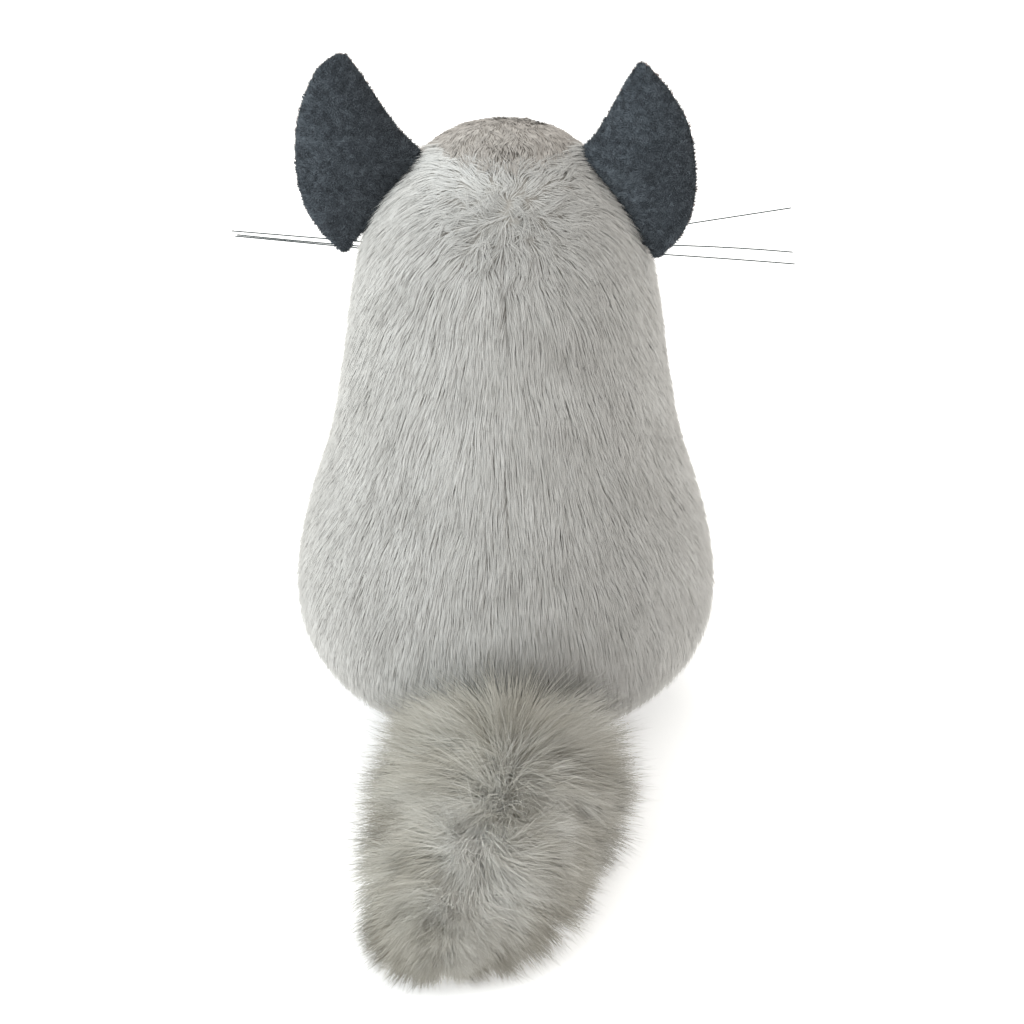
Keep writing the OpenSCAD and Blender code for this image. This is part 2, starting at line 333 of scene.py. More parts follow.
def gather(root, bend, tip, share, pull, seed):
    """Draws fibre tips together into clumps; returns the clump each fibre is in"""
    rng = np.random.default_rng(seed)
    heads = rng.choice(len(root), max(2, int(len(root) * share)), replace=False)
    tree = KDTree(len(heads))
    for i, h in enumerate(heads):
        tree.insert(root[h], i)
    tree.balance()
    member = np.array([tree.find(p)[1] for p in root])
    head = heads[member]
    strength = pull * rng.uniform(0.4, 1.0, (len(root), 1))
    new_bend = mix(bend, bend[head], strength * 0.35)
    new_tip = mix(tip, tip[head], strength)
    return new_bend, new_tip, member


# ---------------------------------------------------------------- round shapes from the frame


class Shape:
    """The outside of some CAD nodes as a smooth distance from a centre, over directions"""

    # Rays keep off the CAD's own columns, where a ray can slip between two faces
    SHIFT = 0.37

    def __init__(self, names, centre, lats=120, lons=180, smoothing=3):
        verts, faces, self.owner = [], [], []
        for name in names:
            mesh = nodes[name].data
            first = len(verts)
            verts += [v.co.copy() for v in mesh.vertices]
            for f in mesh.polygons:
                faces.append([first + v for v in f.vertices])
                self.owner.append(name)
        self.names = list(names)
        self.tree = BVHTree.FromPolygons(verts, faces)
        self.centre = np.array(centre)
        self.lats, self.lons = lats, lons
        lat = np.radians((np.arange(lats) + 0.5) / lats * 180 - 90)
        lon = np.radians((np.arange(lons) + self.SHIFT) / lons * 360)
        grid = np.zeros((lats, lons))
        self.owner_grid = np.zeros((lats, lons), int)
        for i, a in enumerate(lat):
            for j, b in enumerate(lon):
                grid[i, j], name = self.hit(a, b)
                self.owner_grid[i, j] = self.names.index(name) if name else -1
        # Where a ray misses, the rest of its row stands in; the poles take the next row's middle value
        grid = np.where(grid > 0, grid, np.median(grid, axis=1, keepdims=True))
        missed = self.owner_grid < 0
        usual = np.median(np.where(missed, self.owner_grid.max(1, keepdims=True), self.owner_grid), axis=1)
        self.owner_grid = np.where(missed, usual.astype(int)[:, None], self.owner_grid)
        grid[:2], grid[-2:] = np.median(grid[2]), np.median(grid[-3])
        for _ in range(smoothing):
            grid = (np.roll(grid, 1, 1) + 2 * grid + np.roll(grid, -1, 1)) / 4
            padded = np.vstack([grid[:1], grid, grid[-1:]])
            grid = (padded[:-2] + 2 * padded[1:-1] + padded[2:]) / 4
        self.grid = grid

    def hit(self, lat, lon):
        aim = Vector((math.cos(lat) * math.cos(lon), math.cos(lat) * math.sin(lon), math.sin(lat)))
        start = Vector(self.centre) + aim * 0.5
        place, _, face, length = self.tree.ray_cast(start, -aim)
        return (0.0, None) if place is None else (0.5 - length, self.owner[face])

    def distance(self, lat, lon):
        y = np.clip((np.degrees(lat) + 90) / 180 * self.lats - 0.5, 0, self.lats - 1.001)
        x = (np.degrees(lon) % 360) / 360 * self.lons - self.SHIFT
        i, j = np.floor(y).astype(int), np.floor(x).astype(int)
        fy, fx = y - i, x - j
        j0, j1 = j % self.lons, (j + 1) % self.lons
        low = mix(self.grid[i, j0], self.grid[i, j1], fx)
        high = mix(self.grid[i + 1, j0], self.grid[i + 1, j1], fx)
        return mix(low, high, fy)

    def point(self, lat, lon):
        aim = np.stack([np.cos(lat) * np.cos(lon), np.cos(lat) * np.sin(lon), np.sin(lat)], -1)
        return self.centre + aim * self.distance(lat, lon)[..., None]

    def normal(self, lat, lon):
        step = math.radians(1.2)
        near = np.clip(lat, -math.pi / 2 + 0.03, math.pi / 2 - 0.03)
        across = self.point(near, lon + step) - self.point(near, lon - step)
        rise = self.point(near + step, lon) - self.point(near - step, lon)
        found = unit(np.cross(across, rise))
        pole = ease(np.abs(lat), math.pi / 2 - 0.1, math.pi / 2 - 0.03)[..., None]
        return unit(mix(found, np.sign(lat)[..., None] * np.array([0, 0, 1.0]), pole))

    def puff(self, rows, cols, pressure, limit, frames):
        """Cloth under pressure, held along the seams between nodes: the panels swell a little"""
        lat = np.radians((np.arange(rows) + 0.5) / rows * 180 - 90)
        lon = np.radians(np.arange(cols) / cols * 360)
        a, b = np.meshgrid(lat, lon, indexing="ij")
        start = self.point(a, b)
        body = link("puff", grid_mesh("puff", start, True))
        node = self.owners(a, b)
        seam = (node != np.roll(node, 1, 1)) | (node != np.roll(node, -1, 1))
        seam[1:] |= node[1:] != node[:-1]
        seam[:-1] |= node[:-1] != node[1:]
        seam[0] = seam[-1] = True
        held = body.vertex_groups.new(name="seams")
        held.add(np.flatnonzero(seam.ravel()).tolist(), 1.0, "REPLACE")
        cloth = body.modifiers.new("cloth", "CLOTH")
        cloth.settings.quality = 4
        cloth.settings.vertex_group_mass = "seams"
        cloth.settings.use_pressure = True
        cloth.settings.uniform_pressure_force = pressure
        cloth.settings.effector_weights.gravity = 0
        cloth.point_cache.frame_end = frames
        scene = bpy.context.scene
        for i in range(1, frames + 1):
            scene.frame_set(i)
        made = body.evaluated_get(bpy.context.evaluated_depsgraph_get()).to_mesh()
        moved = np.empty(rows * cols * 3, np.float32)
        made.vertices.foreach_get("co", moved)
        moved = moved.reshape(start.shape)
        scene.frame_set(1)
        bpy.data.objects.remove(body)
        swell = np.linalg.norm(moved - self.centre, axis=2) - np.linalg.norm(start - self.centre, axis=2)
        swell = np.clip(swell, -limit, limit)
        y = np.clip((np.arange(self.lats) + 0.5) / self.lats * rows - 0.5, 0, rows - 1.001)
        x = (np.arange(self.lons) + self.SHIFT) / self.lons * cols
        i, j = np.floor(y).astype(int)[:, None], np.floor(x).astype(int)[None]
        fy, fx = (y - np.floor(y))[:, None], (x - np.floor(x))[None]
        upper = mix(swell[i, j % cols], swell[i, (j + 1) % cols], fx)
        lower = mix(swell[i + 1, j % cols], swell[i + 1, (j + 1) % cols], fx)
        self.grid = self.grid + mix(upper, lower, fy)
        return swell

    def scatter(self, count, seed):
        """Directions spread evenly over the surface's area"""
        rng = np.random.default_rng(seed)
        lat = np.arcsin(rng.uniform(-1, 1, count * 6))
        lon = rng.uniform(0, 2 * math.pi, count * 6)
        aim = np.stack([np.cos(lat) * np.cos(lon), np.cos(lat) * np.sin(lon), np.sin(lat)], -1)
        facing = np.maximum((self.normal(lat, lon) * aim).sum(-1), 0.15)
        weight = self.distance(lat, lon) ** 2 / facing
        keep = rng.uniform(0, 1, len(lat)) < weight / np.percentile(weight, 99.8)
        lat, lon = lat[keep][:count], lon[keep][:count]
        return lat, lon

    def owners(self, lat, lon, jitter=0.0, seed=0):
        """The CAD node under each direction; jitter blurs the borders between nodes"""
        rng = np.random.default_rng(seed)
        i = (np.degrees(lat) + 90) / 180 * self.lats + jitter * rng.normal(size=lat.shape)
        j = (np.degrees(lon) % 360) / 360 * self.lons + jitter * rng.normal(size=lat.shape) + 0.13
        return self.owner_grid[np.clip(i.astype(int), 0, self.lats - 1), j.astype(int) % self.lons]

    def skin(self, name, inset, owner=None, rows=90, cols=140):
        """The surface, sunk by inset; with owner, only the part on that CAD node"""
        lat = np.radians(np.linspace(-90, 90, rows))
        lon = np.radians(np.arange(cols) / cols * 360)
        a, b = np.meshgrid(lat, lon, indexing="ij")
        p = self.point(a, b) - self.normal(a, b) * inset
        p[..., 2] = np.maximum(p[..., 2], cad_low.z + 0.4 * MM)
        ids = np.arange(rows * cols).reshape(rows, cols)
        right = np.roll(ids, -1, 1)
        quads = np.stack([ids[:-1], right[:-1], right[1:], ids[1:]], -1).reshape(-1, 4)
        if owner is not None:
            mid_a = (a[:-1] + a[1:]).ravel() / 2
            mid_b = (b[:-1] + math.pi / cols).ravel()
            quads = quads[self.owners(mid_a, mid_b) == self.names.index(owner)]
            used, quads = np.unique(quads, return_inverse=True)
            quads = quads.reshape(-1, 4)
            p = p.reshape(-1, 3)[used]
        mesh = make_mesh(name, p.reshape(-1, 3), quads.ravel(), np.full(len(quads), 4))
        return link(name, mesh)


def middle(node):
    low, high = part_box(node)
    return np.array((low + high) / 2)


def amount(count):
    return count


# ---------------------------------------------------------------- camera, light and floor


def build_stage():
    scene = bpy.context.scene
    scene.view_settings.view_transform = "Standard"
    camera = bpy.data.objects.new("camera", bpy.data.cameras.new("camera"))
    scene.collection.objects.link(camera)
    back = Vector((0, math.cos(CAMERA_HEIGHT), math.sin(CAMERA_HEIGHT)))
    camera.location = Vector(CAMERA_AIM) + back * CAMERA_DISTANCE
    camera.rotation_euler = (-back).to_track_quat("-Z", "Y").to_euler()
    camera.data.lens = CAMERA_LENS
    camera.data.clip_end = 20
    scene.camera = camera

    world = bpy.data.worlds.new("studio")
    scene.world = world
    world.use_nodes = True
    world.node_tree.nodes["Background"].inputs["Color"].default_value = (1, 0.985, 0.95, 1)
    world.node_tree.nodes["Background"].inputs["Strength"].default_value = WORLD_LIGHT

    def area(name, place, size, power, colour):
        light = bpy.data.objects.new(name, bpy.data.lights.new(name, "AREA"))
        light.data.shape = "DISK"
        light.data.size = size
        light.data.energy = power
        light.data.color = colour
        light.location = place
        light.rotation_euler = (Vector((0, 0, 0.1)) - Vector(place)).to_track_quat("-Z", "Y").to_euler()
        scene.collection.objects.link(light)

    area("key", (1.6, 1.1, 1.2), 1.7, KEY_LIGHT, (0.86, 0.955, 1))
    area("front", (0.3, -1.6, 1.2), 1.2, FRONT_LIGHT, (1, 0.99, 0.97))

    floor = grid_mesh("floor", np.array([[[-4, -4, 0], [4, -4, 0]], [[-4, 4, 0], [4, 4, 0]]], float))
    floor = link("floor", floor)
    n = Nodes("floor")
    n.join(n.ramp(n.noise(3), [(0.4, (0.93,)), (0.6, (0.95,))]), n.shader.inputs["Base Color"])
    n.surface(Roughness=0.7, Specular_IOR_Level=0.1)
    n.surface(Emission_Color=(1, 1, 1, 1), Emission_Strength=FLOOR_GLOW)
    floor.data.materials.append(n.material)
    floor.location.z = cad_low.z - 0.2 * MM


# ---------------------------------------------------------------- the body's pile

PANELS = ["base_panel", "belly_panel", "back_left_panel", "back_right_panel",
          "face_left_panel", "face_right_panel", "crown_panel"]
# How far the roots of the pile and the backing lie inside the CAD outline, in mm
ROOT_INSET = 1.6
BACKING_INSET = 2.2
SHALLOW_BACKING = {"crown_panel": 0.45, "face_left_panel": 1.05, "face_right_panel": 1.05, "base_panel": 0.9}

# Places in mm that the pile leaves on all sides, and the place behind the brow that the crown's leaves
NAPE_WHORL = np.array([-1.0, 17, 191])
MUZZLE_WHORL = np.array([0, -72, 142.0])
BROW_Y = -75


def body_comb(p, n, on):
    """The way the body's pile is combed at each root, as unit vectors along the skin"""
    x, y, z = (p / MM).T
    comb = np.zeros_like(p) + [0, 0, -1.0]
    comb[:, 0] += ease(z, 60, 170) * np.clip(x / 40, -1, 1) * 0.14

    # The nape's whorl: pile leaves it all round, up to the crown seam and out to the ears
    away = p / MM - NAPE_WHORL
    reach = np.linalg.norm(away, axis=1)
    around = (1 - ease(reach, 10, 42)) * on["back"]
    comb = mix(comb, unit(away * [1.25, 1, 1]) + [0, 0, -0.12], around[:, None])
    loose = np.exp(-((reach / 9) ** 2)) * on["back"]

    # The crown lies back from the brow, and the muzzle's pile spreads over the face
    from_brow = unit(np.stack([x, y - BROW_Y, 0 * x], -1)) + [0, 0, -0.2]
    comb = mix(comb, from_brow, on["crown"][:, None])
    from_muzzle = p / MM - MUZZLE_WHORL
    spread = 1 - ease(np.linalg.norm(from_muzzle, axis=1), 26, 62)
    comb = mix(comb, unit(from_muzzle), (spread * (1 - on["back"]))[:, None])

    wander = np.stack([Noise(19, s)(p / MM) for s in (21, 22, 23)], -1)
    fine = np.stack([Noise(6, s)(p / MM) for s in (24, 25, 26)], -1)
    tousle = np.stack([Noise(10, s)(p / MM) for s in (31, 32, 33)], -1)
    unruly = np.exp(-((reach / 24) ** 4)) * on["back"]
    stray = 0.07 + 0.8 * loose + 0.28 * on["crown"] + 0.5 * unruly
    comb = comb + wander * 0.1 + fine * stray[:, None]
    comb += tousle * (0.6 * unruly)[:, None]

    # The back seam shows here and there as a parting
    line = x - 0.8 * np.sin(z / 9)
    shown = np.clip(0.35 + 0.5 * np.sin(z / 13 + 0.6) + 0.35 * np.sin(z / 5.1), 0, 1)
    shown = shown * ease(z, 70, 110) * (1 - ease(z, 186, 196))
    seam = np.exp(-((line / 2.2) ** 2)) * on["back"] * shown
    comb[:, 0] += np.sign(line) * seam * 0.15
    return tangent(comb, n), seam, loose


def body_tone(p, on, seam, loose, ruff, clump, rng):
    """Each fibre's tone from 0 to 1: streaks, clumps, pale places, and painted shade and painted light in
    places
    """
    x, y, z = (p / MM).T
    tone = 0.5 + 0.035 * rng.normal(size=clump.max() + 1)[clump] + 0.03 * rng.normal(size=len(x))
    tone += 0.05 * Noise(6, 27)(p / MM * [1, 1, 0.3]) + 0.035 * Noise(40, 28)(p / MM)
    open_pile = np.exp(-(((x - 3) / 11) ** 2) - ((z - 186) / 9) ** 2) * on["back"]
    tone -= 0.07 * seam + 0.1 * loose + 0.36 * open_pile * ease(Noise(3.2, 29)(p / MM), 0.1, 0.7)
    # The ruff's pile is paler. Painted shade: the back darkens toward +X, the side the key light falls on
    tone += 0.2 * ruff * (1 + ease(x, -4, 6)) - 0.06 * ease(x, 15, 50) * on["back"]
    # Painted light: the crown's pile, which lies in its own shade, is lightened, most along its middle toward
    # the back of the head
    tone += 0.1 * on["crown"] * (1 + Noise(5, 30)(p / MM))
    tone += 0.2 * on["crown"] * np.exp(-((x / 20) ** 2)) * ease(y, -24, -10)
    # Painted shade: the low back just above the tail is darkened, where the body's bulge shades it
    low_back_shade = np.exp(-(((z - 47) / 10) ** 2)) * np.exp(-(((x + 6) / 15) ** 2)) * ease(y, 20, 40)
    return np.clip(tone - 0.28 * low_back_shade, 0.03, 0.97)


def build_body():
    shape = Shape(PANELS, (0, -0.002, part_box("crown_panel")[1].z * 0.46), lats=180, lons=240, smoothing=3)
    grey = fur_material("pile", srgb(142, 139, 134), srgb(208, 206, 202), srgb(236, 235, 232))
    brown = fur_material("crown_pile", srgb(112, 105, 99), srgb(178, 172, 166), srgb(210, 205, 199))
    white = fur_material("belly_pile", srgb(190, 185, 174), srgb(234, 231, 224), srgb(248, 247, 243))
    backing = cloth_material("backing", srgb(170, 166, 160), srgb(186, 182, 176))
    # Painted shade: the face and crown backings are darker than the back's, so backing seen between fibres
    # looks like the pile in its own shade
    face_backing = cloth_material("face_backing", srgb(132, 128, 122), srgb(146, 142, 136))
    crown_backing = cloth_material("crown_backing", srgb(132, 127, 121), srgb(146, 141, 135))
    pale_backing = cloth_material("pale_backing", srgb(200, 195, 184), srgb(216, 211, 200))
    looks = {
        "base_panel": (grey, backing, "pile"),
        "belly_panel": (white, pale_backing, "belly_pile"),
        "crown_panel": (brown, crown_backing, "crown_pile"),
        "face_left_panel": (grey, face_backing, "pile"),
        "face_right_panel": (grey, face_backing, "pile"),
    }

    swell = shape.puff(rows=64, cols=96, pressure=3.0, limit=1.0 * MM, frames=14)
    print("panels swelled by up to", round(float(swell.max() / MM), 2), "mm")
    lat, lon = shape.scatter(amount(BODY_FIBRES), seed=11)
    owner = shape.owners(lat, lon, jitter=0.35, seed=14)
    rng = np.random.default_rng(12)
    p, n = shape.point(lat, lon), shape.normal(lat, lon)
    x, y, z = (p / MM).T
    names = np.array(PANELS + ["none"])[owner]
    on = {
        "back": np.char.startswith(names, "back") * ease(y, -14, 0),
        "crown": (names == "crown_panel") * 1.0,
        "face": np.char.startswith(names, "face") * 1.0,
        "belly": (names == "belly_panel") * 1.0,
        "base": (names == "base_panel") * 1.0,
    }
    comb, seam, loose = body_comb(p, n, on)

    # Where the crown is sewn to the back, the longer back pile stands up in a ruff
    ruff = np.exp(-(((z - 200) / 4.5) ** 2)) * on["back"] * np.exp(-((x / 26) ** 4))
    below_seam = on["back"] * ease(z, 190, 199)
    length = 9.0 - 3.0 * on["crown"] - 3.4 * on["face"] - 1.4 * on["belly"] - 6.5 * on["base"]
    length -= 3.4 * below_seam
    length -= 1.6 * np.exp(-((np.linalg.norm(p / MM - NAPE_WHORL, axis=1) / 26) ** 4)) * on["back"]
    length = length * rng.uniform(0.65, 1.12, len(x)) * MM
    inset = (ROOT_INSET + 0.5 * seam - 1.0 * on["crown"] - 0.4 * on["face"] + 0.5 * loose) * MM
    inset -= 1.0 * MM * ease(z, 52, 30) + 0.4 * MM * ease(z, 150, 170) * on["back"]
    inset = np.where(on["base"] > 0, 0.9 * MM, inset)
    rise = np.radians(38 + 6 * ruff - 25 * on["crown"] + 5 * rng.normal(size=len(x)))
    fall = np.radians(10 + 12 * ruff - 13 * on["crown"] + 10 * loose + 4 * rng.normal(size=len(x)))
    root = p - n * inset[:, None]
    start = n * np.sin(rise)[:, None] + comb * np.cos(rise)[:, None]
    end = n * np.sin(fall)[:, None] + comb * np.cos(fall)[:, None]
    bend = root + start * (length * 0.4)[:, None]
    tip = bend + end * (length * 0.62)[:, None]
    bend, tip, clump = gather(root, bend, tip, share=0.26, pull=0.16, seed=13)
    tip[:, 2] = np.maximum(tip[:, 2], cad_low.z + 0.5 * MM)
    tone = body_tone(p, on, seam, loose, ruff, clump, rng)
    radius = (0.135 - 0.015 * on["face"] + 0.015 * on["crown"]) * rng.uniform(0.8, 1.2, len(x)) * MM

    # No pile grows round the eyes: the clear place is 7 mm outward of each eye node's middle
    clear = np.ones(len(x), bool)
    for side in ("left", "right"):
        mid = middle(f"{side}_eye")
        mid = mid + unit(np.array([mid[0], mid[1] + 0.006, 0])) * 7 * MM
        clear &= np.linalg.norm(root - mid, axis=1) > 8.4 * MM

    fibres = dict(root=root, bend=bend, tip=tip, radius=radius, tone=tone, normal=n)
    for i, panel in enumerate(PANELS):
        material, under, slot = looks.get(panel, (grey, backing, "pile"))
        chosen = {k: v[(owner == i) & clear] for k, v in fibres.items()}
        label = panel.replace("_panel", "")
        skin = shape.skin(label + "_backing", SHALLOW_BACKING.get(panel, BACKING_INSET) * MM, panel)
        dress(skin, under, "body", slot, panel)
        plant(label + "_pile", material, "body", slot, [panel], chosen, segments=2, soft=0.93)
    return grey, white


# ---------------------------------------------------------------- tail

# No tip of the tail's pile passes this y, in metres; the end slants a little further out toward +X
TAIL_END = 0.167
TAIL_END_SLANT = 0.13
TAIL_END_SOFT = 8 * MM


def tail_outline():
    """The tail's middle line and half sizes along Y, measured on the CAD tail"""
    co = np.array([v.co for v in nodes["tail_cover"].data.vertices])
    rows = []
    for y in np.linspace(co[:, 1].min(), co[:, 1].max(), 16):
        near = co[np.abs(co[:, 1] - y) < 4 * MM]
        lo, hi = near.min(0), near.max(0)
        rows.append([y, (lo[0] + hi[0]) / 2, (lo[2] + hi[2]) / 2, (hi[0] - lo[0]) / 2, (hi[2] - lo[2]) / 2])
    return np.array(rows)


class TailCore:
    """The tail's fabric tube: at each y a flat oval that carries the long pile"""

    def __init__(self):
        self.rows = tail_outline()
        self.start = self.rows[0, 0] - 8 * MM
        self.stop = self.rows[-1, 0] - 13 * MM

    def middle_x(self, y):
        return np.interp(y, self.rows[:, 0], self.rows[:, 1])

    def point(self, y, turn, grow=1.0):
        share = np.clip((y - self.start) / (self.stop - self.start), 0, 1)
        close = np.sqrt(np.clip(1 - (2 * share - 1) ** 6, 0, 1))
        half = np.interp(y, self.rows[:, 0], self.rows[:, 3])
        wide = np.clip(half - 18 * MM, 11 * MM, 22 * MM)
        wide = mix(wide, 20 * MM, ease(share, 0.3, 0.1)) * close * grow
        tall = mix(14, 10, share) * MM * close * grow
        z = mix(21, 13, share**1.5) * MM
        drift = 7 * MM * ease(share, 0.4, 1.0)
        return np.stack([self.middle_x(y) + drift + wide * np.sin(turn), y, z + tall * np.cos(turn)], -1)


def build_tail():
    core = TailCore()
    fur = fur_material("tail_pile", srgb(128, 120, 106), srgb(192, 188, 178), srgb(228, 226, 220))
    rng = np.random.default_rng(31)
    count = amount(TAIL_FIBRES)
    share = rng.uniform(0, 1, count)
    # The closed end of the tube takes extra fibres, and the top more than the underside
    share = np.where(rng.uniform(size=count) < 0.12, 1 - 0.14 * share**3, share)
    y = mix(core.start, core.stop, share)
    turn = rng.uniform(-math.pi, math.pi, count)
    folded = np.abs(turn) % (math.pi * 0.7) * np.sign(turn)
    turn = np.where(rng.uniform(size=count) < 0.7, folded, turn)
    root = core.point(y, turn)
    ahead = core.point(y + 0.5 * MM, turn) - root
    around = core.point(y, turn + 0.02) - root
    normal = unit(np.cross(around, ahead))

    # At the root the pile opens out against the body, then falls sideways, then runs to the tip
    side = np.sign(turn) * ease(np.abs(turn), 0.0, 0.5)
    low = ease(np.abs(turn), 1.2, 2.6)
    along_tail = np.interp(share, [0, 0.06, 0.3, 0.7, 0.9, 1], [-0.35, 0.0, 0.4, 0.65, 1.2, 2.2])
    climb = np.interp(share, [0, 0.15, 0.35, 1], [0.4, 0.25, 0.05, -0.05]) - 0.35 * low
    spread = side * np.interp(share, [0, 0.6, 1], [1.1, 1.0, 0.7])
    flow = np.stack([spread, along_tail, climb], -1)
    wander = np.stack([Noise(13, s)(root / MM) for s in (41, 42, 43)], -1)
    local = np.stack([Noise(4, s)(root / MM) for s in (45, 46, 47)], -1)
    flow = unit(flow + wander * 0.42 + local * 0.34 + rng.normal(size=flow.shape) * 0.17)
    reach = np.interp(share, [0, 0.4, 0.6, 1], [33, 29, 24, 20]) * rng.uniform(0.55, 1.1, count) * MM
    reach *= 1 - 0.4 * ease(side, 0, -1) * np.exp(-(((share - 0.55) / 0.2) ** 2))
    reach *= 1 + 0.1 * ease(side, 0, 1) * np.exp(-(((share - 0.33) / 0.1) ** 2))
    start_aim = unit(normal * mix(0.75, 0.1, ease(share, 0.72, 0.98))[:, None] + flow * 0.6)
    bend = root + start_aim * (reach * 0.42)[:, None]
    tip = bend + flow * (reach * 0.62)[:, None]
    bend, tip, clump = gather(root, bend, tip, share=0.07, pull=0.42, seed=32)
    tip += rng.normal(size=tip.shape) * 1.6 * MM
    phase = rng.uniform(0, 2 * math.pi, clump.max() + 1)[clump][:, None, None]
    aside = unit(np.cross(flow, normal))[:, None]
    t = np.linspace(0, 1, 4)[None, :, None]
    wave = aside * np.sin(t * 4.5 + phase) * 1.1 * MM
    floor = cad_low.z + 2.0 * MM + rng.uniform(0, 2.5, count) * MM
    for points in (bend, tip):
        points[:, 2] = np.maximum(points[:, 2], floor)
        end = TAIL_END + TAIL_END_SLANT * points[:, 0] - TAIL_END_SOFT
        past = np.maximum(points[:, 1] - end, 0)
        points[:, 1] -= past - TAIL_END_SOFT * (1 - np.exp(-past / TAIL_END_SOFT))

    x = root[:, 0] / MM
    streak = np.exp(-(((x - 9) / 5) ** 2)) * ease(share, 0.4, 0.6) * (np.cos(turn) > 0)
    tone = 0.5 + 0.1 * rng.normal(size=clump.max() + 1)[clump] + 0.07 * rng.normal(size=count)
    # Painted shade: the tail's underside is darker
    tone += 0.16 * Noise(16, 44)(root / MM) + 0.34 * streak - 0.12 * low
    # Painted shade along the top of the tail near the body, where the pile parts under the body's bulge
    parting_shade = np.exp(-(((x - 2) / 3.5) ** 2)) * (1 - ease(share, 0.25, 0.4)) * (np.cos(turn) > 0)
    # Painted light: the top of the tail is lighter
    tone += 0.13 * (1 - low) * (np.cos(turn) > 0.5) - 0.2 * parting_shade
    # Painted shade on the tail's +X side, where the key light falls, and painted light on its -X side
    tone += 0.07 * ease(side, 0, -1) - 0.15 * ease(side, 0, 1)
    fibres = dict(root=root, bend=bend, tip=tip, radius=rng.uniform(0.08, 0.13, count) * MM,
                  tone=np.clip(tone, 0.03, 0.97), normal=normal, wave=wave)
    plant("tail_pile", fur, "tail", "tail_pile", ["tail_cover"], fibres, segments=3, soft=0.6)

    columns = np.linspace(0, 2 * math.pi, 48, endpoint=False)
    rows = np.linspace(core.start, core.stop, 40)
    points = np.array([core.point(np.full(len(columns), v), columns, 0.98) for v in rows])
    skin = link("tail_backing", grid_mesh("tail_backing", points, True))
    under = cloth_material("tail_backing", srgb(118, 111, 100), srgb(136, 130, 118))
    dress(skin, under, "tail", "tail_pile", "tail_cover")


# ---------------------------------------------------------------- ears

# The ear's pattern, as in the CAD source: height, inner edge and outer edge of each row, in mm
EAR_ROWS = np.array([[0, -1.2, 0.8], [5, -3.6, 6], [10, -7, 9.8], [15, -10, 12.3], [20.5, -13.4, 14.1],
                     [27.5, -17.8, 15.2], [34, -22, 15.4], [42, -17.3, 15], [50, -11.7, 13.2],
                     [58.4, -6.4, 10], [63.5, -2.8, 6.5], [66.3, -0.4, 2.4]], float)
EAR_LAST = len(EAR_ROWS) - 1
EAR_CUP, EAR_BACK, EAR_LINING = 7.0, 1.8, 1.4
# Turn, tilt and lean of each ear in degrees; the right ear tilts 1 degree more than the CAD's
EAR_ANGLES = {1: (0, -2, 2), -1: (24, -8, 2)}
# The right ear is set in and down from its CAD seam, in mm, and is a little shorter
RIGHT_EAR_SHIFT = np.array([-2.4, 0, -0.6])
RIGHT_EAR_HEIGHT = 0.965


def along(rows, s):
    """The smooth curve through rows that the CAD ear follows; s counts rows"""
    last = len(rows) - 1
    i = np.minimum(np.floor(s).astype(int), last - 1)
    t = (s - i)[..., None]
    p, q = rows[np.maximum(i - 1, 0)], rows[i]
    r, w = rows[i + 1], rows[np.minimum(i + 2, last)]
    return 0.5 * (2 * q + (r - p) * t + (2 * p - 5 * q + 4 * r - w) * t**2 + (3 * q - p - 3 * r + w) * t**3)


def joint_place(body):
    """Where the joint that carries a body is"""
    return np.array(next(j["pos_m"] for j in frame["record"]["behaviour"]["joints"] if j["child"] == body))


def ear_place(side):
    """Base point in mm and turning matrix of an ear, as on the +X side; its fold joint is at the base"""
    base = joint_place("left_ear" if side > 0 else "right_ear") / MM * [side, 1, 1]
    base = base if side > 0 else base + RIGHT_EAR_SHIFT
    turn, tilt, lean = EAR_ANGLES[side]
    a, b, c = (math.radians(v) for v in (lean, tilt, turn))
    rx = np.array([[1, 0, 0], [0, math.cos(a), -math.sin(a)], [0, math.sin(a), math.cos(a)]])
    ry = np.array([[math.cos(b), 0, math.sin(b)], [0, 1, 0], [-math.sin(b), 0, math.cos(b)]])
    rz = np.array([[math.cos(c), -math.sin(c), 0], [math.sin(c), math.cos(c), 0], [0, 0, 1]])
    return base, rz @ ry @ rx


def ear_point(s, k, layer, side):
    """A point on an ear: s along its rows, k from 0 at the outer edge to 1 at the inner"""
    r = along(EAR_ROWS, s)
    across = 2 * k - 1
    curl = EAR_CUP * np.maximum((r[..., 2] - r[..., 1]) / 38, 0) ** 1.5
    rim = np.sqrt(np.clip(1 - np.abs(across) ** 8, 0, 1)) * np.sqrt(np.clip((EAR_LAST - s) / 0.6, 0, 1))
    inner = r[..., 1] - 3.0 * ease(s, 7.2, 5.8) * ease(s, 0, 3)
    # The right ear's tip is drawn out to a point
    point = ease(s, 7.5, EAR_LAST) * (side < 0)
    outer = r[..., 2] * (1 - 0.45 * point)
    height = r[..., 0] * (1 if side > 0 else RIGHT_EAR_HEIGHT)
    local = np.stack([mix(outer, inner, k), layer * rim + curl * (1 - across**2), height], -1)
    base, turn = ear_place(side)
    p = local @ turn.T + base
    p[..., 0] *= side
    return p * MM


